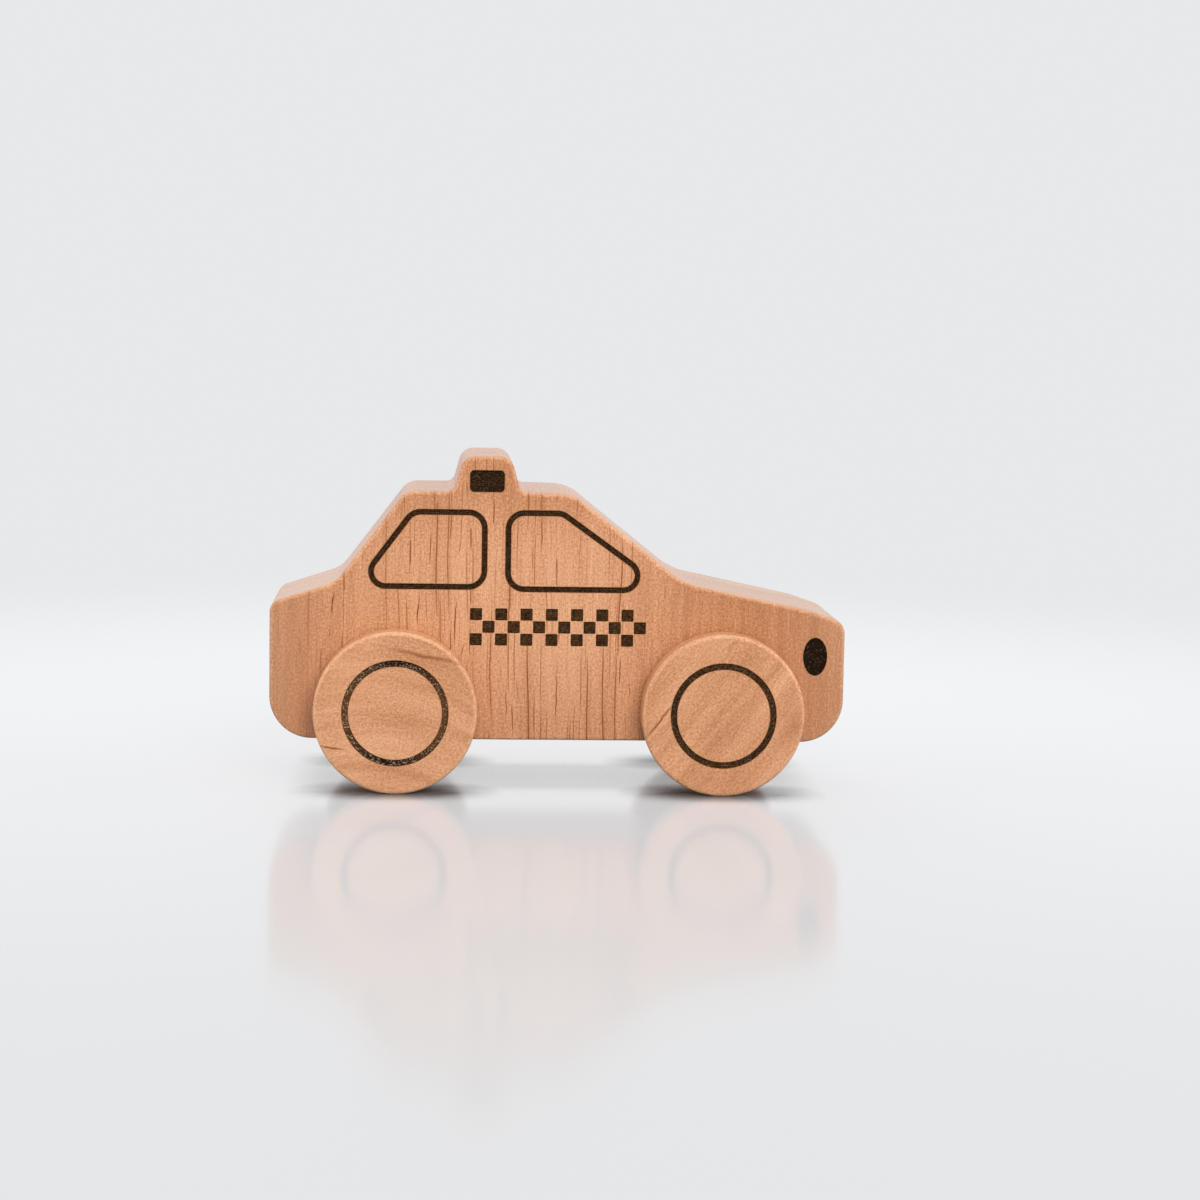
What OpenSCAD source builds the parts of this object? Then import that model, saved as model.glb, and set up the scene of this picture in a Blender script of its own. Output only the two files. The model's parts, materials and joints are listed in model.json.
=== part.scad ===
// Push-along toy patrol car: a block cut from one board, rolling on two dowel axles with four disc wheels.
// +X points to the nose, +Y to the car's left side, +Z up. The origin is on the ground, under the middle.
// Heights in the Body sections count from the underside, lengths from the tail.

/* [Body] */
// Length from tail to nose
body_len = 134.7; // [128:0.1:142]
// Thickness of the board that the body is cut from
body_t = 38; // [30:0.5:44]
// Rounding of the two lower corners
foot_r = 10; // [6:0.5:12]
// Radius of the sanded edges
edge_r = 1; // [0.6:0.1:1.2]

/* [Tail and boot] */
// Height of the tail
tail_h = 31.9; // [28:0.1:34]
// Rounding of the tail's upper corner
tail_r = 3.2; // [1.6:0.1:4]
// Length of the boot lid, up to the foot of the rear slope
boot_len = 15.5; // [12:0.1:18]
// Height at the foot of the rear slope
boot_h = 37; // [34.5:0.1:39]
// Hollow rounding at the foot of the rear slope
boot_r = 8; // [4:0.5:12]

/* [Roof and bonnet] */
// Height of the roof
roof_h = 58.3; // [55:0.1:62]
// Length from the tail to the rear edge of the roof
roof_rear = 31.5; // [29:0.1:34]
// Rounding of the roof's rear edge
roof_rear_r = 5; // [3:0.5:6]
// Length from the tail to the front edge of the roof
roof_front = 70.2; // [67:0.1:73]
// How much the roof falls from the beacon to its front edge
roof_fall = 0.3; // [0:0.1:1]
// Rounding of the roof's front edge
roof_front_r = 10; // [5:0.5:14]
// Length from the tail to the foot of the windscreen
cowl_len = 96.1; // [92:0.1:100]
// Height at the foot of the windscreen
cowl_h = 37.6; // [35:0.1:40]
// Hollow rounding at the foot of the windscreen
cowl_r = 16; // [8:1:22]
// Height of the nose
nose_h = 28.4; // [26:0.1:31]
// Rounding of the nose's upper corner
nose_r = 3.8; // [3:0.1:6]
// Distance from the nose to the bend in the bonnet
brow_back = 9; // [8:0.5:12]
// How far the bend stands above a straight bonnet
brow_rise = 0.9; // [0.3:0.1:1.5]
// Rounding of the bend in the bonnet
brow_r = 30; // [10:1:40]

/* [Beacon] */
// Length from the tail to the middle of the beacon
beacon_len = 50.2; // [48:0.1:54]
// Height of the beacon above the roof
beacon_h = 8.2; // [7:0.1:10]
// Width of the beacon at the roof
beacon_foot_w = 15.5; // [14:0.1:18]
// Width of the beacon at its top
beacon_top_w = 11; // [9:0.1:13]
// Rounding of the beacon's upper corners
beacon_r = 3.6; // [1.6:0.1:4]
// Hollow rounding where the beacon meets the roof
beacon_foot_r = 2.2; // [1:0.1:3]

/* [Engraving] */
// Depth of the engraved marks
mark_depth = 0.4; // [0.2:0.1:1]
// Width of the engraved window lines
line_w = 1.25; // [0.8:0.05:2]
// Height of the rear window's sill
rear_sill_h = 36; // [34:0.1:38]
// Height of the front window's sill
front_sill_h = 35.6; // [34:0.1:38]
// Height of the tops of the windows
window_top_h = 53.4; // [51:0.1:54]
// Rounding of the square and blunt window corners
window_r = 3.8; // [2:0.1:4]
// Rounding of the pointed corner of each window
window_point_r = 3.4; // [2:0.1:4]
// Length from the tail to the middle of the pillar between the windows
pillar_len = 52.5; // [51:0.1:54]
// Distance between the two window lines beside the pillar
pillar_w = 5.5; // [4:0.1:8]
// Length from the tail to the lower corner of the rear window
rear_sill_len = 20.1; // [19:0.1:22]
// Length from the tail to the upper corner of the rear window
rear_top_len = 33; // [31.5:0.1:35]
// Length from the tail to the upper corner of the front window
front_top_len = 67.8; // [66:0.1:69]
// Length from the tail to the lower corner of the front window
front_sill_len = 92.7; // [89:0.1:95]
// Width of the lens mark on the beacon
lens_w = 8; // [6:0.1:9]
// Height of the lens mark on the beacon
lens_h = 5; // [4:0.1:6]
// Rounding of the lens mark
lens_r = 1; // [0.5:0.1:2]
// Height of the middle of the lens mark above the roof
lens_up = 2.4; // [1.5:0.1:3.5]
// Width of the headlamp mark
lamp_w = 5.6; // [4:0.1:7]
// Height of the headlamp mark
lamp_h = 8.9; // [6:0.1:11]
// Distance from the nose to the middle of the headlamp mark
lamp_back = 7; // [5.5:0.1:9]
// Height of the middle of the headlamp mark
lamp_up = 20.4; // [18:0.1:21]

/* [Wheels] */
// Diameter of the wheels
wheel_d = 38; // [34:0.5:42]
// Thickness of the wheels
wheel_t = 7; // [6:0.1:12]
// Radius of the sanded wheel edges
wheel_edge_r = 1; // [0.4:0.1:1.5]
// Diameter of the middle of the ring engraved on each wheel
ring_d = 23.2; // [16:0.1:28]
// Width of the engraved ring
ring_w = 1.4; // [0.8:0.1:2.5]
// Gap between a wheel and the body
wheel_gap = 1; // [0.5:0.1:2]

/* [Axles] */
// Distance between the two axles
wheelbase = 76.2; // [70:0.1:80]
// Length from the tail to the rear axle
rear_overhang = 29.4; // [26:0.1:32]
// Height of the axle holes above the underside
axle_up = 7.3; // [6:0.1:9]
// Diameter of the axle dowels
axle_d = 6.4; // [5:0.1:8]
// Running clearance around an axle in the body
axle_clear = 0.08; // [0.04:0.01:0.1]
// Depth of the blind hole that each axle end is glued into
socket_depth = 4.5; // [3:0.1:5]
// Glue line around an axle end in its wheel
glue_gap = 0.05; // [0.02:0.01:0.1]
// Chamfer on the axle ends
axle_chamfer = 0.5; // [0.2:0.1:1]

/* [Hidden] */
$fn = 96;
wood = "#cb8e65";
wheel_wood = "#d79c70";
axle_wood = "#dcb78c";
// How far a cutting shape reaches past the face that it cuts
past = 1;
// Largest angle between two points on a round of the outline
arc_step = 7.5;
// Steps across each sanded edge
edge_steps = 3;
axle_h = wheel_d / 2;
axle_len = body_t + 2 * (wheel_gap + socket_depth);
rear_axle_x = rear_overhang - body_len / 2;
front_axle_x = rear_axle_x + wheelbase;
wheel_face = body_t / 2 + wheel_gap;
window_line_rear = pillar_len - pillar_w / 2;
window_line_front = pillar_len + pillar_w / 2;
brow_h = nose_h + brow_rise + (cowl_h - nose_h) * brow_back / (body_len - cowl_len);

// Corners of the side outline, anticlockwise: [length from the tail, height, rounding]
body_corners = [
  [0, 0, foot_r],
  [body_len, 0, foot_r],
  [body_len, nose_h, nose_r],
  [body_len - brow_back, brow_h, brow_r],
  [cowl_len, cowl_h, cowl_r],
  [roof_front, roof_h - roof_fall, roof_front_r],
  [beacon_len + beacon_foot_w / 2, roof_h, beacon_foot_r],
  [beacon_len + beacon_top_w / 2, roof_h + beacon_h, beacon_r],
  [beacon_len - beacon_top_w / 2, roof_h + beacon_h, beacon_r],
  [beacon_len - beacon_foot_w / 2, roof_h, beacon_foot_r],
  [roof_rear, roof_h, roof_rear_r],
  [boot_len, boot_h, boot_r],
  [0, tail_h, tail_r]
];
rear_window = [
  [rear_sill_len, rear_sill_h, window_point_r],
  [window_line_rear, rear_sill_h, window_r],
  [window_line_rear, window_top_h, window_r],
  [rear_top_len, window_top_h, window_r]
];
front_window = [
  [window_line_front, front_sill_h, window_r],
  [front_sill_len, front_sill_h, window_point_r],
  [front_top_len, window_top_h, window_r],
  [window_line_front, window_top_h, window_r]
];
lens_corners = [
  [-lens_w / 2, -lens_h / 2, lens_r],
  [lens_w / 2, -lens_h / 2, lens_r],
  [lens_w / 2, lens_h / 2, lens_r],
  [-lens_w / 2, lens_h / 2, lens_r]
];

// Geometry of a closed outline with rounded corners
function flat(c) = [c.x, c.y];
function at(list, i) = list[(i + len(list)) % len(list)];
function cross2(a, b) = a.x * b.y - a.y * b.x;
function outward(d) = [d.y, -d.x];
function angle_of(v) = atan2(v.y, v.x);
// Direction of the side that leaves corner i
function side(c, i) = let (v = flat(at(c, i + 1)) - flat(at(c, i))) v / norm(v);
// Turn at corner i in degrees: positive is to the left, at a corner that stands out
function turn(c, i) = atan2(cross2(side(c, i - 1), side(c, i)), side(c, i - 1) * side(c, i));
// Middle of the round at corner i, which touches both of its sides
function arc_centre(c, i) =
  let (r = c[i][2], way = sign(turn(c, i)))
  flat(c[i]) - r * tan(abs(turn(c, i)) / 2) * side(c, i - 1) - way * r * outward(side(c, i - 1));
// Points around the outline with its corners rounded, moved inward by inset
function ring(c, inset = 0) = [
  for (i = [0 : len(c) - 1])
    let (way = sign(turn(c, i)), steps = ceil(abs(turn(c, i)) / arc_step))
    let (from = angle_of(way * outward(side(c, i - 1))))
    for (j = [0 : steps])
      let (a = from + turn(c, i) * j / steps)
      arc_centre(c, i) + (c[i][2] - way * inset) * [cos(a), sin(a)]
];
// Steps across the thickness from face to face, [inset, height], with the sanded edges as quarter rounds
edge_profile = [
  for (s = [-1, 1])
    for (k = [0 : edge_steps])
      let (a = 90 * (s < 0 ? edge_steps - k : k) / edge_steps)
      [edge_r * (1 - cos(a)), s * (body_t / 2 - edge_r + edge_r * sin(a))]
];

// Board cut to the side outline with sanded edges, its thickness centred on height 0.
// Rings of points follow the outline from face to face, and each face is a fan around the middle of the cabin.
module board(c) {
  rings = [for (e = edge_profile) [for (p = ring(c, e[0])) [p.x, p.y, e[1]]]];
  n = len(rings[0]);
  last = len(rings) - 1;
  middle = [beacon_len, nose_h / 2];
  points = concat(
    [for (r = rings) each r],
    [for (h = [-body_t / 2, body_t / 2]) [middle.x, middle.y, h]]
  );
  lower_middle = n * len(rings);
  upper_middle = lower_middle + 1;
  faces = concat(
    [for (j = [0 : n - 1]) [lower_middle, j, (j + 1) % n]],
    [for (j = [0 : n - 1]) [upper_middle, last * n + (j + 1) % n, last * n + j]],
    [
      for (k = [0 : last - 1], j = [0 : n - 1])
        let (a = k * n + j, b = k * n + (j + 1) % n)
        each [[a, a + n, b + n], [a, b + n, b]]
    ]
  );
  polyhedron(points, faces);
}

// Line of width line_w along an outline
module outline_stroke(c) {
  difference() {
    polygon(ring(c, -line_w / 2));
    polygon(ring(c, line_w / 2));
  }
}

// Marks engraved on a side, drawn from the tail and the underside
module side_marks() {
  outline_stroke(rear_window);
  outline_stroke(front_window);
  translate([beacon_len, roof_h + lens_up]) polygon(ring(lens_corners));
  translate([body_len - lamp_back, lamp_up]) scale([lamp_w, lamp_h]) circle(d = 1);
}

module body() {
  color(wood)
    translate([-body_len / 2, 0, axle_h - axle_up])
      rotate([90, 0, 0])
        difference() {
          board(body_corners);
          for (s = [0, 1])
            mirror([0, 0, s])
              translate([0, 0, body_t / 2 - mark_depth])
                linear_extrude(mark_depth + past) side_marks();
          for (x = [rear_overhang, rear_overhang + wheelbase])
            translate([x, axle_up, 0])
              cylinder(h = body_t + 2 * past, d = axle_d + 2 * axle_clear, center = true);
        }
}

module axle(x) {
  color(axle_wood)
    translate([x, 0, axle_h])
      rotate([90, 0, 0])
        rotate_extrude()
          polygon([
            [0, -axle_len / 2],
            [axle_d / 2 - axle_chamfer, -axle_len / 2],
            [axle_d / 2, axle_chamfer - axle_len / 2],
            [axle_d / 2, axle_len / 2 - axle_chamfer],
            [axle_d / 2 - axle_chamfer, axle_len / 2],
            [0, axle_len / 2]
          ]);
}

// Half section of a wheel: its inner face lies at height 0, the engraved face at the top
module wheel_section() {
  edge_x = wheel_d / 2 - wheel_edge_r;
  difference() {
    square([wheel_d / 2, wheel_t]);
    for (s = [0, 1])
      translate([edge_x, s * wheel_t])
        mirror([0, s])
          difference() {
            translate([0, -past]) square([wheel_edge_r + past, wheel_edge_r + past]);
            translate([0, wheel_edge_r]) circle(wheel_edge_r);
          }
    translate([0, -past]) square([axle_d / 2 + glue_gap, socket_depth + past]);
    translate([(ring_d - ring_w) / 2, wheel_t - mark_depth]) square([ring_w, mark_depth + past]);
  }
}

// Wheel on the axle at x, on the right side for way = -1 and the left for way = 1
module wheel(x, way) {
  color(wheel_wood)
    translate([x, way * wheel_face, axle_h])
      rotate([-90 * way, 0, 0])
        rotate_extrude() wheel_section();
}

module front_axle() { axle(front_axle_x); }
module rear_axle() { axle(rear_axle_x); }
module wheel_front_right() { wheel(front_axle_x, -1); }
module wheel_front_left() { wheel(front_axle_x, 1); }
module wheel_rear_right() { wheel(rear_axle_x, -1); }
module wheel_rear_left() { wheel(rear_axle_x, 1); }

body();
front_axle();
rear_axle();
wheel_front_right();
wheel_front_left();
wheel_rear_right();
wheel_rear_left();
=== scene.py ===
"""Looks of a wooden push-along toy patrol car: sawn board body, turned wheels, laser-burned marks."""
import json
import math

import bmesh
import bpy
from mathutils import Euler, Matrix, Vector, geometry, noise


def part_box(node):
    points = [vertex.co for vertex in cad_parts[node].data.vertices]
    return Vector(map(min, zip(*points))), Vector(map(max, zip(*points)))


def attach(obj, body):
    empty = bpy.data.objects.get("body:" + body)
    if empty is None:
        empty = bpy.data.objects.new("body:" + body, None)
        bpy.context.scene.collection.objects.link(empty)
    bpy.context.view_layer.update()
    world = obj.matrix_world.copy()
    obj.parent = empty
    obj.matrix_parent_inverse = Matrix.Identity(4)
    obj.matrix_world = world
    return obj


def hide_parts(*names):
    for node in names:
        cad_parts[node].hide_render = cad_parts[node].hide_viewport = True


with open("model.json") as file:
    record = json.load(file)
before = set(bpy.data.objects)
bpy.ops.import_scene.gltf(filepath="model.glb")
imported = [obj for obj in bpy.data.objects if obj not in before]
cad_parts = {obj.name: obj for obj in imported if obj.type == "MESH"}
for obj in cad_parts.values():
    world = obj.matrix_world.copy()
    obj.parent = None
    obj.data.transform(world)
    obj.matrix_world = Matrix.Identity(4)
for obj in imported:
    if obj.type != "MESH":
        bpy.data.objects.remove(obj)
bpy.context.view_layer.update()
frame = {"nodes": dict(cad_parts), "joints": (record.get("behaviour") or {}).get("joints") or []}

MM = 0.001
QUARTER_TURN = math.pi / 2

# Body sizes taken from the solid, in millimetres
body_low, body_high = (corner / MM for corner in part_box("body"))
TAIL_X = body_low.x
UNDERSIDE = body_low.z
BODY_LEN = body_high.x - body_low.x
BODY_T = body_high.y - body_low.y
NOSE_X = TAIL_X + BODY_LEN
AXLES = {joint["child"]: Vector(joint["pos_m"]) / MM for joint in frame["joints"]}

# Side outline in millimetres: lengths from the tail, heights above the underside
FOOT_R = 10
TAIL_H, TAIL_R = 31.9, 3.2
BOOT_LEN, BOOT_H, BOOT_R = 15.5, 37, 8
ROOF_H, ROOF_FALL = 58.3, 0.3
ROOF_REAR, ROOF_REAR_R = 31.5, 5
ROOF_FRONT, ROOF_FRONT_R = 70.2, 10
COWL_LEN, COWL_H, COWL_R = 96.1, 37.6, 16
NOSE_H, NOSE_R = 28.4, 3.8
BROW_BACK, BROW_RISE, BROW_R = 9, 0.9, 30
BEACON_LEN, BEACON_H = 50.2, 8.2
BEACON_FOOT_W, BEACON_TOP_W = 15.5, 11
BEACON_R, BEACON_FOOT_R = 3.6, 2.2

# Sanded edges of the body and the wheels, how much the body's wander, and the strength of the painted
# highlight on them and on the wheels' treads
EDGE_R = 1
EDGE_WANDER, EDGE_WANDER_LEN = 0.18, 14
WHEEL_EDGE_R = 1
PAINTED_EDGE_HIGHLIGHT = 0.2

# Burned marks
MARK_DEPTH = 0.4
LINE_W = 1.25
REAR_SILL_LEN, REAR_SILL_H = 20.1, 36
REAR_TOP_LEN, WINDOW_TOP_H = 33, 53.4
FRONT_SILL_LEN, FRONT_SILL_H = 92.7, 35.6
FRONT_TOP_LEN = 67.8
PILLAR_LEN, PILLAR_W = 52.5, 5.5
WINDOW_R, WINDOW_POINT_R = 3.8, 3.4
LENS_W, LENS_H, LENS_R, LENS_UP = 8, 5, 1, 2.4
LAMP_W, LAMP_H, LAMP_BACK, LAMP_UP = 5.6, 8.9, 7, 20.4
RING_D, RING_W = 23.2, 1.4

# Chequered band on the door, burned less deep than the rest
BAND_LEN, BAND_UP = 67.1, 26.7
BAND_COLUMNS, BAND_ROWS = 14, 3
BAND_PITCH, BAND_SQUARE, BAND_R = 2.95, 2.8, 0.25
BAND_DEPTH = 0.25

# Axle holes and the wheels' blind holes
BORE_D = 6.56
SOCKET_D, SOCKET_DEPTH = 6.5, 4.5

# Fineness of the meshes and their shading
ARC_STEP = math.radians(4)
RUN_STEP = 3
EDGE_STEPS = 6
ROUND_STEPS = 160
LAMP_STEPS = 64
BORE_STEPS = 48
FILL_TOLERANCE = 1e-5
SHARP_ANGLE = math.radians(40)
FACE_WEIGHT = 100
SQUARE = [(-1, -1), (1, -1), (1, 1), (-1, 1)]

# Scorch beside a burned edge: distance from the edge, how burned
HALO = [(0.32, 0), (0.12, 0.25), (0, 0.7)]
BAND_HALO = [(0.04, 0), (0, 0.7)]
WALL_LEAN = 0.06

# How black each kind of mark is burned
LAMP_BLACK = 1.2
LENS_BLACK = 0.9
WINDOW_BLACK = 0.84
BAND_BLACK = 0.8

# The same for the wheel rings, and how much blacker they are where they run along the grain
FRONT_RING = (0.8, 0.02)
REAR_RING = (0.7, 0.2)

# Colours in linear light
LIGHT = (0.830, 0.448, 0.252, 1)
PALE = (0.692, 0.331, 0.164, 1)
MIDDLE = (0.525, 0.223, 0.092, 1)
DEEP = (0.385, 0.147, 0.052, 1)
PORE_AND_SHADE = (0.270, 0.064, 0.004, 1)
DARK_PORE = (0.100, 0.030, 0.008, 1)
END_GRAIN_AND_PAINTED_LIGHT = (0.740, 0.460, 0.300, 1)
SCORCH = (0.22, 0.085, 0.032, 1)
BROWN_CHAR = (0.114, 0.048, 0.014, 1)
BLACK_CHAR = (0.014, 0.0072, 0.0038, 1)
ASH = (0.450, 0.325, 0.240, 1)

# Where the wood turns from one colour to the next: from tone, to tone, the next colour
WOOD_STEPS = [(-0.32, -0.03, MIDDLE), (-0.07, 0.22, PALE), (0.18, 0.47, LIGHT)]

# Light and dark in the wood: size across, through and along in millimetres, detail, roughness, weight
BODY_BANDS = ((13, 9, 130), 2, 0.5, 0.2)
WHEEL_BANDS = ((4, 4, 22), 2, 0.5, 0.55)
LONG_FIGURE = ((2.0, 1.3, 60), 3, 0.65, 0.4)
GROWTH_RINGS = ((40, 1.1, 160), 1, 0.5, 0.4)
SPECKS = ((0.5, 0.5, 0.55), 2, 0.8, 1.5)

# Fibres: width, detail, their length in the body, and their weight in the tone and in the relief
FIBRE_W, FIBRE_DETAIL = 0.24, 2
BODY_FLECK = 4.5
FIBRE_WEIGHT, FIBRE_RELIEF = 0.3, 0.7

# Painted pool of light on the middle of the board: where it begins, is full, fades and ends across the
# board, and its weight
PAINTED_LIGHT_POOL = (-90, -14, 7, 34)
LIGHT_POOL_WEIGHT = 0.31
NO_LIGHT_POOL = 0.5

# Painted shade low and high on the board: from height, to height, how dark at each
LOW_SHADE = (10, 34, 0.13, 0.0)
HIGH_SHADE = (54, 74, 0.0, 0.24)

# Slow drift of the grain across the board: size and detail of its noise, how far it goes
DRIFT_NOISE = ((12, 12, 34), 1)
DRIFT = 3.0

# Thin lines along the grain: gap, length and width in millimetres, and the chance below which there is none
FINE_LINES = (1.4, 20, 0.18, 0.1)
LONG_LINES = (3.6, 36, 0.21, 0.3)
SHORT_LINES = (5.0, 8, 0.2, 0.45)
FINE_STRENGTH, LONG_STRENGTH = 0.55, 0.8
WHEEL_LINES, DOWEL_LINES = 0.15, 0.2

# Their core as a share of the width, the reach of the bands beside them as a share of the gap, and its shade
LINE_CORE, LINE_REACH = 0.3, 0.4
LINE_SHADE = 0.12

# How they end, how deep they go below a side, how they crowd where the painted pool of light lies, and their
# shift on the other side
LINE_TAPER = (0.15, 0.6, 1.0, 0.0)
LINE_SKIN = (2.5, 1)
LINE_CROWD = (0.0, 0.8, 0.4, 1.0)
OTHER_SIDE = 50

# How dark a pore, or the wheels' painted shade, has to be for each of its two colours
PORE_FROM_TO = (0.0, 0.8)
DARK_PORE_FROM_TO = (0.7, 1.0)

# Single dark streaks in the wood, in millimetres on the side: x, z, x, z, width, strength
BODY_STREAKS = [
    (-24.6, 31.7, -24.0, 46.9, 0.5, 1.2),
    (-22.6, 30.5, -22.4, 35.5, 0.4, 0.9),
    (-33.2, 37.0, -32.6, 47.5, 0.5, 1.1),
    (-53.2, 39.5, -52.2, 47.8, 0.5, 1.2),
    (-53.4, 34.0, -53.4, 39.0, 0.4, 0.8),
    (-12.2, 13.5, -12.2, 26.5, 0.5, 0.7),
    (-9.6, 19.0, -9.8, 28.5, 0.4, 0.6),
    (-0.4, 11.7, -0.6, 33.5, 0.5, 0.9),
    (16.7, 21.0, 16.7, 27.0, 0.5, 0.7),
    (10.6, 13.5, 10.4, 18.8, 0.5, 0.7),
    (-4.4, 54.0, -4.4, 66.3, 0.5, 0.8),
    (-0.7, 49.5, -0.7, 56.5, 0.5, 0.8),
    (-23.4, 54.0, -23.0, 60.5, 0.5, 0.7),
    (-21.8, 67.5, -21.8, 74.0, 0.4, 0.7),
    (23.0, 40.0, 23.0, 48.0, 0.4, 0.5),
    (40.0, 42.0, 40.2, 47.5, 0.4, 0.5),
]

# The same for a wheel, from its middle; the wide ones, 10 mm and more across, are painted shade on the
# wheel's lower part and sides
REAR_STREAKS_AND_SHADE = [
    (-13.5, 13.2, -6.0, 16.4, 1.6, 0.25),
    (-9.0, 16.8, 23.0, 9.8, 2.0, 0.6),
    (-19.5, -7.6, -9.5, -9.0, 0.8, 0.85),
    (-18.0, -15.0, 18.0, -15.0, 16, 0.2),
    (-19.0, 6.0, -14.0, -12.0, 10, 0.16),
]
FRONT_STREAKS_AND_SHADE = [
    (-21.1, -9.3, -8.7, 6.7, 1.0, 0.7),
    (-1.6, 14.4, 4.8, 19.0, 1.6, 0.3),
    (8.4, 6.6, 14.8, 14.8, 1.8, 0.3),
    (1.4, -8.0, 3.8, -0.8, 0.8, 0.35),
    (-16.0, -15.0, 16.0, -15.0, 16, 0.2),
    (14.0, -14.0, 18.0, 12.0, 12, 0.3),
]

# How the streaks waver: size and detail of the noise, how far in millimetres
WAVER_NOISE = ((4, 4, 4), 2)
WAVER = 1.2

# Painted sheen on the upward faces, broken into end-grain rings, then painted light on the tail and nose:
# share and length
END_NOISE = ((34, 1.4, 34), 3)
END_RINGS = (0.3, 0.7, 0.3, 0.95)
END_FACING = (0.35, 1.0)
END_HEIGHT = (46, 66, 1.0, 0.75)
PALE_TAIL, PALE_TAIL_LEN = 0.16, 20
PALE_NOSE, PALE_NOSE_LEN = 0.14, 18

# Scorched edges: how ragged, and the heat from which they turn brown and then black
RAGGED_NOISE = ((0.28, 0.28, 1.6), 2)
RAGGED = 2.0
SCORCH_HEAT = (0.04, 0.6)
CHAR_HEAT = (0.5, 0.85)

# Finish of the wood: satin over the fibres, relief by how far a face looks sideways, bump
SATIN = (0.3, 0.7, 0.2, 0.34)
SIDE_RELIEF = (0.3, 0.9, 0.2, 1.0)
WOOD_BUMP, WOOD_BUMP_DEPTH = 0.3, 0.03
WOOD_IOR = 1.5

# Char: cloudy, in level passes, with specks of ash
PASS_PITCH, PASS_SHARE = 0.5, 0.06
CLOUD_NOISE = ((0.5, 0.5, 0.45), 2)
CLOUD = 0.7
BLACK_DEPTH = (0.5, 1.0)
DUST_NOISE = ((0.42, 0.42, 0.36), 2, 0.7)
DUST = (0.55, 0.66)
CHAR_BUMP, CHAR_BUMP_DEPTH = 0.5, 0.08
CHAR_ROUGHNESS, CHAR_IOR, CHAR_SPECULAR = 0.8, 1.45, 0.05
BODY_ASH = 0.12

# Grain of the body and the dowels: angle from level in degrees, seed, tone
BODY_GRAIN, BODY_SEED, BODY_TONE = 90, 0, 0.015
DOWEL_GRAIN, DOWEL_SEED = 0, 1833

# Wheels: solid, body, ring, ash, grain angle, seed, tone, bend of the grain, length of the flecks, streaks
# and painted shade
WHEELS = [
    ("wheel_rear_right", "rear_wheelset", REAR_RING, 1.0, -7, 307, 0.2, -0.012, 1.2, REAR_STREAKS_AND_SHADE),
    ("wheel_front_right", "front_wheelset", FRONT_RING, 0.25, 52, 612, 0.10, 0.002, 1.4, FRONT_STREAKS_AND_SHADE),
    ("wheel_rear_left", "rear_wheelset", REAR_RING, 0.6, 24, 931, 0.13, 0.006, 1.3, ()),
    ("wheel_front_left", "front_wheelset", FRONT_RING, 0.25, 128, 1255, 0.08, -0.004, 1.3, ()),
]

# Floor and background: sizes in metres
BACKGROUND = (0.803, 0.81, 0.825, 1)
FLOOR_COLOUR = (0.22, 0.221, 0.223, 1)
FLOOR_ROUGHNESS, FLOOR_IOR = 0.12, 1.24
FLOOR_HALF = 3
FLOOR_FADE = (0.12, 0.5)
FLOOR_GLOW = (0.6, 0.97, 0.0, 0.56)
SHADE_SAMPLES, SHADE_REACH = 8, 0.0126

# Light: soft boxes as name, place, size, power in watts, and whether the car mirrors them
WORLD_COLOUR, WORLD_STRENGTH = (1, 1, 1, 1), 0.33
AIM = Vector((0, 0, 0.035))
SOFT_BOXES = [
    ("front soft box", (0.3, -1.6, 0.8), 1.2, 27, False),
    ("back soft box", (-0.3, 1.6, 0.8), 1.2, 19.5, False),
    ("nose soft box", (1.7, -0.1, 0.4), 1.0, 10, False),
    ("tail soft box", (-1.7, -0.1, 0.4), 1.0, 10, False),
    ("top soft box", (0.1, 0.2, 1.3), 1.0, 1, True),
]

# Camera: lens and sensor, place in millimetres, turn in degrees
CAMERA_LENS, CAMERA_SENSOR = 84.24, 36
CAMERA_PLACE = (-29.3, -669.9, 114.9)
CAMERA_TURN = (83.878, -0.977, -3.304)


def outward(direction):
    return Vector((direction.y, -direction.x))


def corner_arc(point, before, after, r):
    """Walks one rounded corner between two directions: [(point, outward direction)]."""
    turn = math.atan2(before.cross(after), before.dot(after))
    way = math.copysign(1, turn)
    start = outward(before)
    centre = point - r * math.tan(abs(turn) / 2) * before - way * r * start
    steps = max(2, math.ceil(abs(turn) / ARC_STEP))
    directions = [Matrix.Rotation(turn * j / steps, 2) @ start for j in range(steps + 1)]
    return [(centre + way * r * d, d) for d in directions]


def rounded(corners):
    """Walks a closed outline anticlockwise with its corners rounded: [(point, outward direction)]."""
    count = len(corners)
    points = [Vector(corner[:2]) for corner in corners]
    sides = [(points[(i + 1) % count] - points[i]).normalized() for i in range(count)]
    arcs = [corner_arc(points[i], sides[i - 1], sides[i], corners[i][2]) for i in range(count)]
    path = []
    for i in range(count):
        path += arcs[i]
        here, there = arcs[i][-1][0], arcs[(i + 1) % count][0][0]
        runs = max(1, round((there - here).length / RUN_STEP))
        path += [(here.lerp(there, k / runs), outward(sides[i])) for k in range(1, runs)]
    return path


def ellipse(centre, w, h, steps):
    """Walks an ellipse anticlockwise: [(point, outward direction)]."""
    path = []
    for k in range(steps):
        a = 2 * math.pi * k / steps
        direction = Vector((math.cos(a) * h, math.sin(a) * w)).normalized()
        path.append((centre + Vector((math.cos(a) * w / 2, math.sin(a) * h / 2)), direction))
    return path


def box_corners(centre, w, h, r):
    return [(centre.x + sx * w / 2, centre.y + sy * h / 2, r) for sx, sy in SQUARE]


def moved(path, distance):
    return [point + distance * direction for point, direction in path]


def inside(point, loop):
    """Whether a point lies inside a closed loop of points."""
    odd = False
    for a, b in zip(loop, loop[1:] + loop[:1]):
        if (a.y > point.y) != (b.y > point.y):
            if point.x < a.x + (point.y - a.y) / (b.y - a.y) * (b.x - a.x):
                odd = not odd
    return odd


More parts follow.
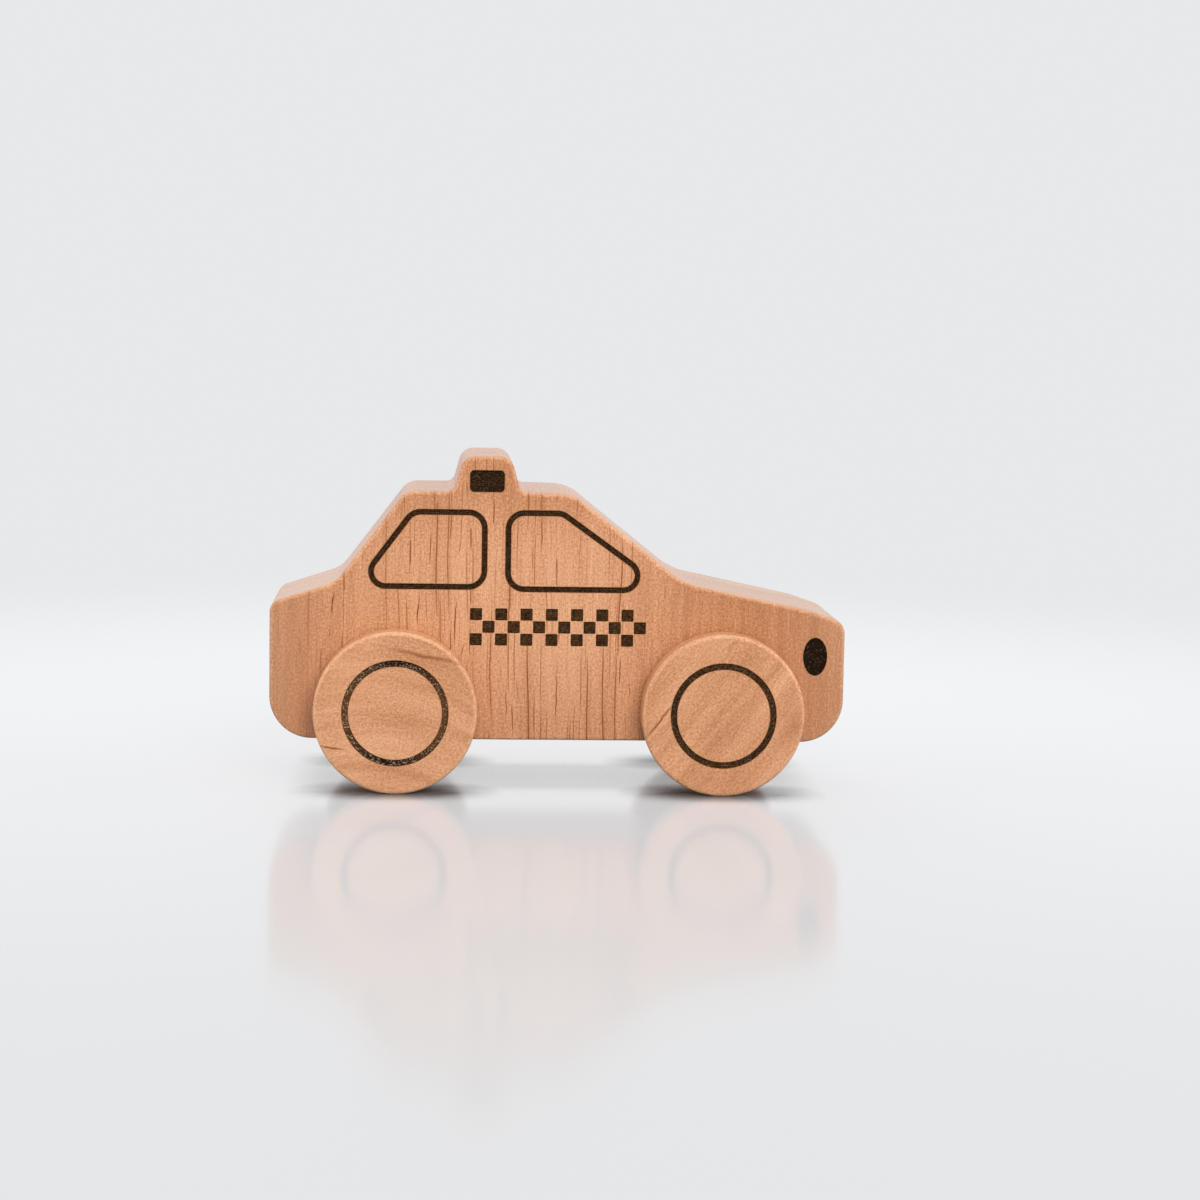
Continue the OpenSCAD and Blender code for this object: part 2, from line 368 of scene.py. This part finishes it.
class Skin:
    """Points, faces and burn of one piece, in millimetres in the car's frame; a burn below nought is a
    painted highlight.
    """

    def __init__(self):
        self.points = []
        self.faces = []
        self.burn = []
        self.charred = set()

    def row(self, points, burn=0):
        first = len(self.points)
        self.points += points
        self.burn += [burn] * len(points)
        return list(range(first, len(self.points)))

    def strip(self, a, b):
        """Quads between two closed rows of as many points."""
        for k in range(len(a)):
            n = (k + 1) % len(a)
            self.faces.append((a[k], a[n], b[n], b[k]))

    def strips(self, rows):
        """Quads from each row to the next."""
        for a, b in zip(rows, rows[1:]):
            self.strip(a, b)

    def burned(self, first):
        """The faces from number first on are char."""
        self.charred.update(range(first, len(self.faces)))

    def fan(self, row, middle):
        for k in range(len(row)):
            self.faces.append((row[k], row[(k + 1) % len(row)], middle))

    def fill(self, outer, holes):
        """Triangles in the plane of X and Z between an outer row and the rows of its holes."""
        rows = [outer, *holes]
        loops = [[Vector((self.points[i].x, self.points[i].z)) for i in row] for row in rows]
        flat = [p for loop in loops for p in loop]
        index = [i for row in rows for i in row]
        edges = []
        for loop in loops:
            first = len(edges)
            edges += [(first + k, first + (k + 1) % len(loop)) for k in range(len(loop))]
        found, _, triangles, origin, _, _ = geometry.delaunay_2d_cdt(flat, edges, [], 0, FILL_TOLERANCE)
        for triangle in triangles:
            middle = sum((found[k] for k in triangle), Vector((0, 0))) / 3
            if inside(middle, loops[0]) and not any(inside(middle, loop) for loop in loops[1:]):
                self.faces.append(tuple(index[origin[k][0]] for k in triangle))

    def mesh(self, name, materials):
        """The mesh with its burn, its sharp edges and its materials: bare wood and char."""
        mesh = bpy.data.meshes.new(name)
        mesh.from_pydata([p * MM for p in self.points], [], self.faces)
        attribute = mesh.attributes.new("burn", "FLOAT", "POINT")
        attribute.data.foreach_set("value", self.burn)
        shape = bmesh.new()
        shape.from_mesh(mesh)
        bmesh.ops.recalc_face_normals(shape, faces=shape.faces)
        shape.to_mesh(mesh)
        shape.free()
        mesh.shade_smooth()
        mesh.set_sharp_from_angle(angle=SHARP_ANGLE)
        for material in materials:
            mesh.materials.append(material)
        for k in self.charred:
            mesh.polygons[k].material_index = 1
        return mesh

    def piece(self, name, materials, body, slot, node):
        """The finished object: it rides on a body and stands for a solid."""
        piece = bpy.data.objects.new(name, self.mesh(name, materials))
        bpy.context.scene.collection.objects.link(piece)
        normals = piece.modifiers.new("face normals", "WEIGHTED_NORMAL")
        normals.keep_sharp = True
        normals.weight = FACE_WEIGHT
        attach(piece, body)
        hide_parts(node)


def side_row(skin, side, points, depth=0, burn=0):
    """A row of outline points laid on one side of the body, or sunk below it."""
    y = side * (BODY_T / 2 - depth)
    return skin.row([Vector((p.x, y, p.y)) for p in points], burn)


def placed(corners):
    """Corners given from the tail and the underside, moved into the car's frame."""
    return [(x + TAIL_X, z + UNDERSIDE, r) for x, z, r in corners]


def burned_patch(skin, side, path, depth, halo, black):
    """A filled mark: scorch, edge, wall and floor. Returns the row where the bare wood begins."""
    rows = [side_row(skin, side, moved(path, gap), 0, burn) for gap, burn in halo]
    skin.strips(rows)
    first = len(skin.faces)
    edge = side_row(skin, side, moved(path, -WALL_LEAN), depth, black)
    skin.strip(rows[-1], edge)
    skin.faces.append(tuple(edge))
    skin.burned(first)
    return rows[0]


def window_line(skin, side, path):
    """A burned line along an outline with bare wood inside it. Returns its outermost row."""
    half = LINE_W / 2
    outer = [side_row(skin, side, moved(path, half + gap), 0, burn) for gap, burn in HALO]
    inner = [side_row(skin, side, moved(path, -half - gap), 0, burn) for gap, burn in HALO]
    skin.strips(outer)
    skin.strips(inner)
    skin.faces.append(tuple(inner[0]))
    first = len(skin.faces)
    floor = half - WALL_LEAN
    outer_floor = side_row(skin, side, moved(path, floor), MARK_DEPTH, WINDOW_BLACK)
    inner_floor = side_row(skin, side, moved(path, -floor), MARK_DEPTH, WINDOW_BLACK)
    skin.strips([outer[-1], outer_floor, inner_floor, inner[-1]])
    skin.burned(first)
    return outer[0]


def window_corners():
    """Corners of the rear and the front window, from the tail and the underside."""
    rear_line, front_line = PILLAR_LEN - PILLAR_W / 2, PILLAR_LEN + PILLAR_W / 2
    rear = [
        (REAR_SILL_LEN, REAR_SILL_H, WINDOW_POINT_R),
        (rear_line, REAR_SILL_H, WINDOW_R),
        (rear_line, WINDOW_TOP_H, WINDOW_R),
        (REAR_TOP_LEN, WINDOW_TOP_H, WINDOW_R),
    ]
    front = [
        (front_line, FRONT_SILL_H, WINDOW_R),
        (FRONT_SILL_LEN, FRONT_SILL_H, WINDOW_POINT_R),
        (FRONT_TOP_LEN, WINDOW_TOP_H, WINDOW_R),
        (front_line, WINDOW_TOP_H, WINDOW_R),
    ]
    return rear, front


def beacon_lens():
    middle = Vector((TAIL_X + BEACON_LEN, UNDERSIDE + ROOF_H + LENS_UP))
    return rounded(box_corners(middle, LENS_W, LENS_H, LENS_R))


def head_lamp():
    middle = Vector((NOSE_X - LAMP_BACK, UNDERSIDE + LAMP_UP))
    return ellipse(middle, LAMP_W, LAMP_H, LAMP_STEPS)


def band_squares():
    """Outlines of the chequered band's dark squares."""
    left = TAIL_X + BAND_LEN - (BAND_COLUMNS - 1) * BAND_PITCH / 2
    low = UNDERSIDE + BAND_UP - (BAND_ROWS - 1) * BAND_PITCH / 2
    for column in range(BAND_COLUMNS):
        for row in range(BAND_ROWS):
            if (column + row) % 2 == 0:
                centre = Vector((left + column * BAND_PITCH, low + row * BAND_PITCH))
                yield rounded(box_corners(centre, BAND_SQUARE, BAND_SQUARE, BAND_R))


def body_side(skin, side, outer):
    """One flat side of the body with its marks. Returns the rows of the axle holes."""
    holes = []
    for corners in window_corners():
        holes.append(window_line(skin, side, rounded(placed(corners))))
    for path, black in ((beacon_lens(), LENS_BLACK), (head_lamp(), LAMP_BLACK)):
        holes.append(burned_patch(skin, side, path, MARK_DEPTH, HALO, black))
    for path in band_squares():
        holes.append(burned_patch(skin, side, path, BAND_DEPTH, BAND_HALO, BAND_BLACK))
    bores = []
    for axle in AXLES.values():
        path = ellipse(Vector((axle.x, axle.z)), BORE_D, BORE_D, BORE_STEPS)
        bores.append(side_row(skin, side, moved(path, 0)))
    skin.fill(outer, holes + bores)
    return bores


def body_corners():
    """Corners of the side outline with their radii, anticlockwise from the tail's foot."""
    half_foot, half_top = BEACON_FOOT_W / 2, BEACON_TOP_W / 2
    brow_h = NOSE_H + BROW_RISE + (COWL_H - NOSE_H) * BROW_BACK / (BODY_LEN - COWL_LEN)
    return [
        (0, 0, FOOT_R),
        (BODY_LEN, 0, FOOT_R),
        (BODY_LEN, NOSE_H, NOSE_R),
        (BODY_LEN - BROW_BACK, brow_h, BROW_R),
        (COWL_LEN, COWL_H, COWL_R),
        (ROOF_FRONT, ROOF_H - ROOF_FALL, ROOF_FRONT_R),
        (BEACON_LEN + half_foot, ROOF_H, BEACON_FOOT_R),
        (BEACON_LEN + half_top, ROOF_H + BEACON_H, BEACON_R),
        (BEACON_LEN - half_top, ROOF_H + BEACON_H, BEACON_R),
        (BEACON_LEN - half_foot, ROOF_H, BEACON_FOOT_R),
        (ROOF_REAR, ROOF_H, ROOF_REAR_R),
        (BOOT_LEN, BOOT_H, BOOT_R),
        (0, TAIL_H, TAIL_R),
    ]


def edge_radii(path, seed):
    """Radius of the sanded edge at each point, wandering a little along the outline."""
    radii = []
    length = 0
    for k in range(len(path)):
        length += (path[k][0] - path[k - 1][0]).length if k else 0
        wander = noise.noise(Vector((length / EDGE_WANDER_LEN, seed, 0)))
        radii.append(EDGE_R * (1 + EDGE_WANDER * wander))
    return radii


def sawn_edge(skin, path):
    """The sawn edge of the board between its two sanded corners. Returns its rows from right to left."""
    rows = []
    for side in (-1, 1):
        radii = edge_radii(path, side)
        steps = range(EDGE_STEPS, -1, -1) if side < 0 else range(EDGE_STEPS + 1)
        for k in steps:
            a = QUARTER_TURN * k / EDGE_STEPS
            points = []
            for (point, direction), r in zip(path, radii):
                p = point - r * (1 - math.cos(a)) * direction
                points.append(Vector((p.x, side * (BODY_T / 2 - r + r * math.sin(a)), p.y)))
            # Painted highlight on the rounded edge, strongest halfway round
            rows.append(skin.row(points, -PAINTED_EDGE_HIGHLIGHT * math.sin(2 * a)))
    skin.strips(rows)
    return rows


def make_body(materials):
    """The board: flat sides with burned marks, joined by the sawn and sanded edge."""
    skin = Skin()
    rows = sawn_edge(skin, rounded(placed(body_corners())))
    right_bores = body_side(skin, -1, rows[0])
    left_bores = body_side(skin, 1, rows[-1])
    for a, b in zip(right_bores, left_bores):
        skin.strip(a, b)
    skin.piece("sawn_body", materials, "car_body", "body_wood", "body")


def wheel_profile(radius, thickness, ring_black):
    """From the face's middle round the rim to the blind hole: [(radius, depth below the face, burn)]."""
    ring_in, ring_out = (RING_D - RING_W) / 2, (RING_D + RING_W) / 2
    profile = [(ring_in - gap, 0, burn) for gap, burn in HALO]
    profile += [(r, MARK_DEPTH, ring_black) for r in (ring_in + WALL_LEAN, ring_out - WALL_LEAN)]
    profile += [(ring_out + gap, 0, burn) for gap, burn in reversed(HALO)]
    angles = [QUARTER_TURN * k / EDGE_STEPS for k in range(EDGE_STEPS + 1)]
    inner_rim = radius - WHEEL_EDGE_R
    for a in angles:
        r = inner_rim + WHEEL_EDGE_R * math.sin(a)
        # Painted highlight on the rim's rounding and over the whole tread
        pale = PAINTED_EDGE_HIGHLIGHT * math.sin(min(2 * a, QUARTER_TURN))
        profile.append((r, WHEEL_EDGE_R * (1 - math.cos(a)), -pale))
    for a in angles:
        r = inner_rim + WHEEL_EDGE_R * math.cos(a)
        pale = PAINTED_EDGE_HIGHLIGHT * math.sin(min(math.pi - 2 * a, QUARTER_TURN))
        profile.append((r, thickness - WHEEL_EDGE_R * (1 - math.sin(a)), -pale))
    return profile + [(SOCKET_D / 2, thickness, 0), (SOCKET_D / 2, thickness - SOCKET_DEPTH, 0)]


def make_wheel(node, body, ring_burn, grain, materials):
    """A turned disc with a burned ring, a sanded rim and the blind hole for its axle."""
    ring_black, ring_swing = ring_burn
    low, high = (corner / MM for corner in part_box(node))
    middle = (low + high) / 2
    side = math.copysign(1, middle.y)
    face_y = side * max(abs(low.y), abs(high.y))
    profile = wheel_profile((high.z - low.z) / 2, high.y - low.y, ring_black)
    skin = Skin()
    turns = [2 * math.pi * k / ROUND_STEPS for k in range(ROUND_STEPS)]
    rows = []
    for r, depth, burn in profile:
        y = face_y - side * depth
        ring = [Vector((middle.x + r * math.cos(t), y, middle.z + r * math.sin(t))) for t in turns]
        rows.append(skin.row(ring, burn))
        if depth == MARK_DEPTH:
            for i, t in zip(rows[-1], turns):
                skin.burn[i] -= ring_swing * math.cos(2 * (t - math.radians(grain)))
    for k in range(len(rows) - 1):
        first = len(skin.faces)
        skin.strip(rows[k], rows[k + 1])
        if MARK_DEPTH in (profile[k][1], profile[k + 1][1]):
            skin.burned(first)
    for end in (0, -1):
        y = face_y - side * profile[end][1]
        centre = skin.row([Vector((middle.x, y, middle.z))])
        skin.fan(rows[end], centre[0])
    skin.piece(node.replace("wheel", "turned_wheel"), materials, body, "wheel_wood", node)


class Graph:
    """The nodes of a material or of the world, with short calls for the ones used here."""

    def __init__(self, holder):
        self.holder = holder
        holder.use_nodes = True
        self.tree = holder.node_tree
        self.tree.nodes.clear()

    def add(self, kind, settings=None, **inputs):
        """A node with its inputs set or linked, by name or, after an underscore, by number."""
        node = self.tree.nodes.new(kind)
        for key, value in (settings or {}).items():
            setattr(node, key, value)
        for key, value in inputs.items():
            socket = node.inputs[int(key[1:])] if key[0] == "_" else node.inputs[key.replace("_", " ")]
            if isinstance(value, bpy.types.NodeSocket):
                self.tree.links.new(value, socket)
            else:
                socket.default_value = value
        return node

    def math(self, operation, a, b=0.0):
        return self.add("ShaderNodeMath", {"operation": operation}, _0=a, _1=b).outputs[0]

    def about_nought(self, value, weight):
        """A value between 0 and 1 moved to lie about nought and weighted."""
        return self.math("MULTIPLY", self.math("SUBTRACT", value, 0.5), weight)

    def ramp(self, value, low, high, to_low=0.0, to_high=1.0):
        settings = {"interpolation_type": "SMOOTHSTEP"}
        ends = {"_1": low, "_2": high, "_3": to_low, "_4": to_high}
        return self.add("ShaderNodeMapRange", settings, _0=value, **ends).outputs[0]

    def mix(self, factor, a, b):
        return self.add("ShaderNodeMix", {"data_type": "RGBA"}, _0=factor, _6=a, _7=b).outputs[2]

    def vector(self, operation, a, b):
        return self.add("ShaderNodeVectorMath", {"operation": operation}, _0=a, _1=b).outputs[0]

    def dot(self, a, b):
        return self.add("ShaderNodeVectorMath", {"operation": "DOT_PRODUCT"}, _0=a, _1=b).outputs["Value"]

    def axes(self, vector):
        return self.add("ShaderNodeSeparateXYZ", Vector=vector).outputs

    def noise(self, place, size, detail, roughness=0.5):
        """Noise whose features are about size = (across, through, along) millimetres."""
        stretched = self.vector("MULTIPLY", place, [1 / s for s in size])
        looks = {"Scale": 1.0, "Detail": detail, "Roughness": roughness}
        return self.add("ShaderNodeTexNoise", Vector=stretched, **looks).outputs[0]

    def bump(self, height, strength, depth):
        return self.add("ShaderNodeBump", Strength=strength, Distance=depth * MM, Height=height).outputs[0]

    def finish(self, **inputs):
        shader = self.add("ShaderNodeBsdfPrincipled", **inputs).outputs[0]
        self.add("ShaderNodeOutputMaterial", Surface=shader)
        return self.holder


def millimetres(g):
    """Place in the piece in millimetres."""
    where = g.add("ShaderNodeTexCoord").outputs["Object"]
    return g.add("ShaderNodeVectorMath", {"operation": "SCALE"}, _0=where, Scale=1 / MM).outputs[0]


def facing(g):
    return g.axes(g.add("ShaderNodeNewGeometry").outputs["Normal"])


def burn_value(g):
    return g.add("ShaderNodeAttribute", {"attribute_name": "burn"}).outputs["Fac"]


def grain_place(g, grain, middle, seed, bend):
    """Place in the wood in millimetres: across, through and along a grain at an angle from level."""
    turn = Euler((0, math.radians(grain - 90), 0))
    centre = Vector(middle)
    centre.rotate(turn)
    start = Vector((0, 0, seed)) - centre
    place = g.add("ShaderNodeMapping", Vector=millimetres(g), Location=start, Rotation=turn).outputs[0]
    from_middle = g.math("SUBTRACT", g.axes(place)["Z"], seed)
    arch = g.math("MULTIPLY", g.math("MULTIPLY", from_middle, from_middle), bend)
    drift = g.about_nought(g.noise(place, *DRIFT_NOISE), DRIFT)
    sway = g.add("ShaderNodeCombineXYZ", X=g.math("ADD", drift, arch)).outputs[0]
    return g.vector("ADD", place, sway)


def near_light_pool(g, place, light_pool):
    """How near a place is to the painted pool of light in the board's middle, and how much painted shade it
    gets low and high.
    """
    if light_pool is None:
        return NO_LIGHT_POOL, 0.0
    left, rise, fall, right = light_pool
    across, _, height = g.axes(place)
    near = g.math("MULTIPLY", g.ramp(across, left, rise), g.ramp(across, fall, right, 1.0, 0.0))
    # Painted shade low in the board's middle and high all along
    low = g.math("MULTIPLY", near, g.ramp(height, *LOW_SHADE))
    return near, g.math("ADD", low, g.ramp(height, *HIGH_SHADE))


def wood_tone(g, place, near, shade, bands, fibre, tone):
    """Light and dark of the wood, about nought: the painted pool of light, broad bands, growth rings, fine
    fibres and specks, less the painted shade.
    """
    parts = [(near, LIGHT_POOL_WEIGHT), (fibre, FIBRE_WEIGHT)]
    for size, detail, roughness, weight in (bands, LONG_FIGURE, GROWTH_RINGS, SPECKS):
        parts.append((g.noise(place, size, detail, roughness), weight))
    for value, weight in parts:
        tone = g.math("ADD", tone, g.about_nought(value, weight))
    return g.math("SUBTRACT", tone, shade)


def wood_colour(g, tone):
    colour = DEEP
    for low, high, lighter in WOOD_STEPS:
        colour = g.mix(g.ramp(tone, low, high), colour, lighter)
    return colour


def strokes(g, place, gap, length, width, rarest):
    """Thin lines along the grain on a board's sides, as strong as chance has it, and their bands."""
    x, through, z = g.axes(place)
    across = g.math("DIVIDE", x, gap)
    across = g.math("ADD", across, g.math("MULTIPLY", g.math("SIGN", through), OTHER_SIDE))
    along = g.math("DIVIDE", z, length)
    spot = g.add("ShaderNodeCombineXYZ", X=across, Y=along).outputs[0]
    cell = g.add("ShaderNodeTexVoronoi", {"voronoi_dimensions": "2D"}, Vector=spot, Scale=1.0)
    seat = g.axes(cell.outputs["Position"])
    aside = g.math("MULTIPLY", g.math("ABSOLUTE", g.math("SUBTRACT", across, seat["X"])), gap)
    ahead = g.math("ABSOLUTE", g.math("SUBTRACT", along, seat["Y"]))
    chance = g.add("ShaderNodeSeparateColor", Color=cell.outputs["Color"]).outputs[0]
    deep, shallow = LINE_SKIN
    on_side = g.ramp(g.math("ABSOLUTE", through), BODY_T / 2 - deep, BODY_T / 2 - shallow)
    strength = g.math("MULTIPLY", g.ramp(chance, rarest, 1.0), on_side)
    strength = g.math("MULTIPLY", strength, g.ramp(ahead, *LINE_TAPER))
    line = g.math("MULTIPLY", g.ramp(aside, width * LINE_CORE, width, 1.0, 0.0), strength)
    band = g.math("MULTIPLY", g.ramp(aside, 0.0, gap * LINE_REACH, 1.0, 0.0), strength)
    return line, band


def grain_lines(g, place, near):
    """All the thin lines of the wood, crowded where the painted pool of light lies, and the bands beside the
    longest.
    """
    fine, _ = strokes(g, place, *FINE_LINES)
    long, band = strokes(g, place, *LONG_LINES)
    short, _ = strokes(g, place, *SHORT_LINES)
    strong = g.math("MULTIPLY", g.math("MAXIMUM", long, short), LONG_STRENGTH)
    lines = g.math("MAXIMUM", g.math("MULTIPLY", fine, FINE_STRENGTH), strong)
    return g.math("MULTIPLY", lines, g.ramp(near, *LINE_CROWD)), band


def dark_streaks_and_shade(g, streaks_and_shade, middle):
    """Dark streaks that taper from their middle to both ends and waver a little; the wheels' wide ones are
    painted shade.
    """
    place = millimetres(g)
    waver = g.about_nought(g.noise(place, *WAVER_NOISE), WAVER)
    total = 0.0
    for x, z, end_x, end_z, width, strength in streaks_and_shade:
        run = Vector((end_x - x, 0, end_z - z))
        start = Vector((x, 0, z)) + Vector((middle[0], 0, middle[2]))
        half = run.length / 2
        way = run.normalized()
        cross = Vector((way.z, 0, -way.x))
        along = g.math("SUBTRACT", g.dot(place, way), start.dot(way))
        aside = g.math("ADD", g.math("SUBTRACT", g.dot(place, cross), start.dot(cross)), waver)
        taper = g.math("MULTIPLY", g.ramp(along, 0.0, half), g.ramp(along, half, 2 * half, 1.0, 0.0))
        dark = g.ramp(g.math("ABSOLUTE", aside), 0.0, width / 2, strength, 0.0)
        total = g.math("MAXIMUM", total, g.math("MULTIPLY", dark, taper))
    return total


def pale_parts(g):
    """Where the board is paler: painted sheen on the upward faces in end-grain rings, and painted light on
    the tail and the nose.
    """
    place = millimetres(g)
    length, _, height = g.axes(place)
    rings = g.ramp(g.noise(place, *END_NOISE), *END_RINGS)
    up = g.math("MULTIPLY", g.ramp(facing(g)["Z"], *END_FACING), rings)
    tops = g.math("MULTIPLY", up, g.ramp(height, *END_HEIGHT))
    tail = g.ramp(length, TAIL_X, TAIL_X + PALE_TAIL_LEN, PALE_TAIL, 0.0)
    nose = g.ramp(length, NOSE_X - PALE_NOSE_LEN, NOSE_X, 0.0, PALE_NOSE)
    return g.math("MAXIMUM", tops, g.math("MAXIMUM", tail, nose))


def scorched(g, place, burn, colour):
    """Wood browned and blackened with a ragged edge beside the burned marks."""
    edge = g.math("MULTIPLY", g.math("MULTIPLY", burn, g.math("SUBTRACT", 1.0, burn)), RAGGED)
    heat = g.math("ADD", burn, g.about_nought(g.noise(place, *RAGGED_NOISE), edge))
    colour = g.mix(g.ramp(heat, *SCORCH_HEAT), colour, SCORCH)
    return g.mix(g.ramp(heat, *CHAR_HEAT), colour, BROWN_CHAR)


def wood_relief(g, fibre, pores_and_shade):
    """Fibres standing up and pores sunk, stronger on the sides than on the sanded tops."""
    sideways = g.math("ABSOLUTE", facing(g)["Y"])
    relief = g.math("SUBTRACT", g.math("MULTIPLY", fibre, FIBRE_RELIEF), pores_and_shade)
    relief = g.math("MULTIPLY", relief, g.ramp(sideways, *SIDE_RELIEF))
    return g.bump(relief, WOOD_BUMP, WOOD_BUMP_DEPTH)


def wood(
    name, grain, middle, seed,
    tone=0.0, bend=0.0, lines=1.0, bands=BODY_BANDS, fleck=BODY_FLECK, light_pool=None, streaks_and_shade=(),
):
    """Oiled wood with soft bands and dark pore lines along its grain, scorched beside the burned marks."""
    g = Graph(bpy.data.materials.new(name))
    place = grain_place(g, grain, middle, seed, bend)
    near, shade = near_light_pool(g, place, light_pool)
    burn = burn_value(g)
    fibre = g.noise(place, (FIBRE_W, FIBRE_W, fleck), FIBRE_DETAIL)
    line, band = grain_lines(g, place, near)
    tone = wood_tone(g, place, near, shade, bands, fibre, tone)
    # A burn below nought is the painted highlight on the edges and treads: it makes the wood paler
    tone = g.math("SUBTRACT", tone, g.math("MINIMUM", burn, 0.0))
    tone = g.math("SUBTRACT", tone, g.math("MULTIPLY", band, LINE_SHADE * lines))
    colour = wood_colour(g, tone)
    # Pores and dark streaks, with the wheels' painted shade among the streaks
    pores_and_shade = g.math("MAXIMUM", g.math("MULTIPLY", line, lines), dark_streaks_and_shade(g, streaks_and_shade, middle))
    colour = g.mix(g.ramp(pores_and_shade, *PORE_FROM_TO), colour, PORE_AND_SHADE)
    colour = g.mix(g.ramp(pores_and_shade, *DARK_PORE_FROM_TO), colour, DARK_PORE)
    # Painted sheen on the tops and painted light on the tail and nose, in a paler end-grain colour
    if light_pool:
        colour = g.mix(pale_parts(g), colour, END_GRAIN_AND_PAINTED_LIGHT)
    colour = scorched(g, place, burn, colour)
    satin = g.ramp(fibre, *SATIN)
    bump = wood_relief(g, fibre, pores_and_shade)
    return g.finish(Base_Color=colour, Roughness=satin, IOR=WOOD_IOR, Normal=bump)


def char(name, ash):
    """Wood burned by a laser in level passes: brown where light, black where deep, with pale specks."""
    g = Graph(bpy.data.materials.new(name))
    place = millimetres(g)
    passes = g.math("SINE", g.math("MULTIPLY", g.axes(place)["Z"], 2 * math.pi / PASS_PITCH))
    cloud = g.about_nought(g.noise(place, *CLOUD_NOISE), CLOUD)
    depth = g.math("ADD", g.math("ADD", burn_value(g), cloud), g.math("MULTIPLY", passes, PASS_SHARE))
    colour = g.mix(g.ramp(depth, *BLACK_DEPTH), BROWN_CHAR, BLACK_CHAR)
    dust = g.ramp(g.noise(place, *DUST_NOISE), *DUST)
    colour = g.mix(g.math("MULTIPLY", dust, ash), colour, ASH)
    return g.finish(
        Base_Color=colour,
        Roughness=CHAR_ROUGHNESS,
        IOR=CHAR_IOR,
        Specular_IOR_Level=CHAR_SPECULAR,
        Normal=g.bump(dust, CHAR_BUMP, CHAR_BUMP_DEPTH),
    )


def body_wood():
    looks = {"tone": BODY_TONE, "light_pool": PAINTED_LIGHT_POOL, "streaks_and_shade": BODY_STREAKS}
    return wood("body wood", BODY_GRAIN, (0, 0, 0), BODY_SEED, **looks)


def make_wheels():
    """The four wheels, each with its own grain."""
    for node, body, ring_burn, ash, grain, seed, tone, bend, fleck, streaks_and_shade in WHEELS:
        looks = {"tone": tone, "bend": bend, "fleck": fleck, "streaks_and_shade": streaks_and_shade}
        looks.update(lines=WHEEL_LINES, bands=WHEEL_BANDS)
        name = node.replace("_", " ")
        wheel_wood = wood(name + " wood", grain, AXLES[body], seed, **looks)
        make_wheel(node, body, ring_burn, grain, [wheel_wood, char(name + " char", ash)])


def finish_axles():
    """The axles keep their solids and get the wood of a dowel."""
    dowel = wood("dowel wood", DOWEL_GRAIN, (0, 0, 0), DOWEL_SEED, lines=DOWEL_LINES)
    for node in ("front_axle", "rear_axle"):
        solid = frame["nodes"][node].data
        solid.materials.clear()
        solid.materials.append(dowel)


def seen(g):
    """One for what the camera and reflections see, nought for what lights the car."""
    path = g.add("ShaderNodeLightPath").outputs
    return g.math("MAXIMUM", path["Is Camera Ray"], path["Is Glossy Ray"])


def floor_look():
    """Pale and a little glossy by the car, the background's colour far from it."""
    g = Graph(bpy.data.materials.new("floor"))
    settings = {"samples": SHADE_SAMPLES}
    open_sky = g.add("ShaderNodeAmbientOcclusion", settings, Distance=SHADE_REACH).outputs["AO"]
    # The floor's glow fades out where the ambient occlusion is low: painted contact shadow round the wheels
    # and under the car
    top = g.add(
        "ShaderNodeBsdfPrincipled",
        Base_Color=FLOOR_COLOUR,
        Roughness=FLOOR_ROUGHNESS,
        IOR=FLOOR_IOR,
        Emission_Color=BACKGROUND,
        Emission_Strength=g.math("MULTIPLY", g.ramp(open_sky, *FLOOR_GLOW), seen(g)),
    ).outputs[0]
    where = g.add("ShaderNodeTexCoord").outputs["Object"]
    distance = g.add("ShaderNodeVectorMath", {"operation": "LENGTH"}, _0=where).outputs["Value"]
    far = g.add("ShaderNodeEmission", Color=BACKGROUND, Strength=1.0).outputs[0]
    blend = g.add("ShaderNodeMixShader", _0=g.ramp(distance, *FLOOR_FADE), _1=top, _2=far).outputs[0]
    g.add("ShaderNodeOutputMaterial", Surface=blend)
    return g.holder


def make_floor():
    """A plain pale floor that fades into the background far from the car."""
    mesh = bpy.data.meshes.new("floor")
    corners = [(sx * FLOOR_HALF, sy * FLOOR_HALF, 0) for sx, sy in SQUARE]
    mesh.from_pydata(corners, [], [(0, 1, 2, 3)])
    mesh.materials.append(floor_look())
    floor = bpy.data.objects.new("floor", mesh)
    bpy.context.scene.collection.objects.link(floor)


def make_world():
    """Soft light from all around, and the pale background that the camera and reflections see."""
    world = bpy.data.worlds.new("studio")
    bpy.context.scene.world = world
    g = Graph(world)
    light = g.add("ShaderNodeBackground", Color=WORLD_COLOUR, Strength=WORLD_STRENGTH).outputs[0]
    back = g.add("ShaderNodeBackground", Color=BACKGROUND).outputs[0]
    blend = g.add("ShaderNodeMixShader", _0=seen(g), _1=light, _2=back).outputs[0]
    g.add("ShaderNodeOutputWorld", Surface=blend)


def make_soft_box(name, place, size, power, mirrored):
    """A square soft box that faces the car, with or without its own reflection."""
    light = bpy.data.lights.new(name, "AREA")
    light.size = size
    light.energy = power
    lamp = bpy.data.objects.new(name, light)
    lamp.location = place
    lamp.visible_glossy = mirrored
    lamp.rotation_euler = (AIM - Vector(place)).to_track_quat("-Z", "Y").to_euler()
    bpy.context.scene.collection.objects.link(lamp)


def make_camera():
    data = bpy.data.cameras.new("camera")
    data.lens = CAMERA_LENS
    data.sensor_width = CAMERA_SENSOR
    camera = bpy.data.objects.new("camera", data)
    camera.location = Vector(CAMERA_PLACE) * MM
    camera.rotation_euler = Euler([math.radians(a) for a in CAMERA_TURN])
    bpy.context.scene.collection.objects.link(camera)
    bpy.context.scene.camera = camera


make_body([body_wood(), char("body char", BODY_ASH)])
make_wheels()
finish_axles()
make_floor()
make_world()
for box in SOFT_BOXES:
    make_soft_box(*box)
make_camera()
bpy.context.scene.view_settings.view_transform = "Standard"
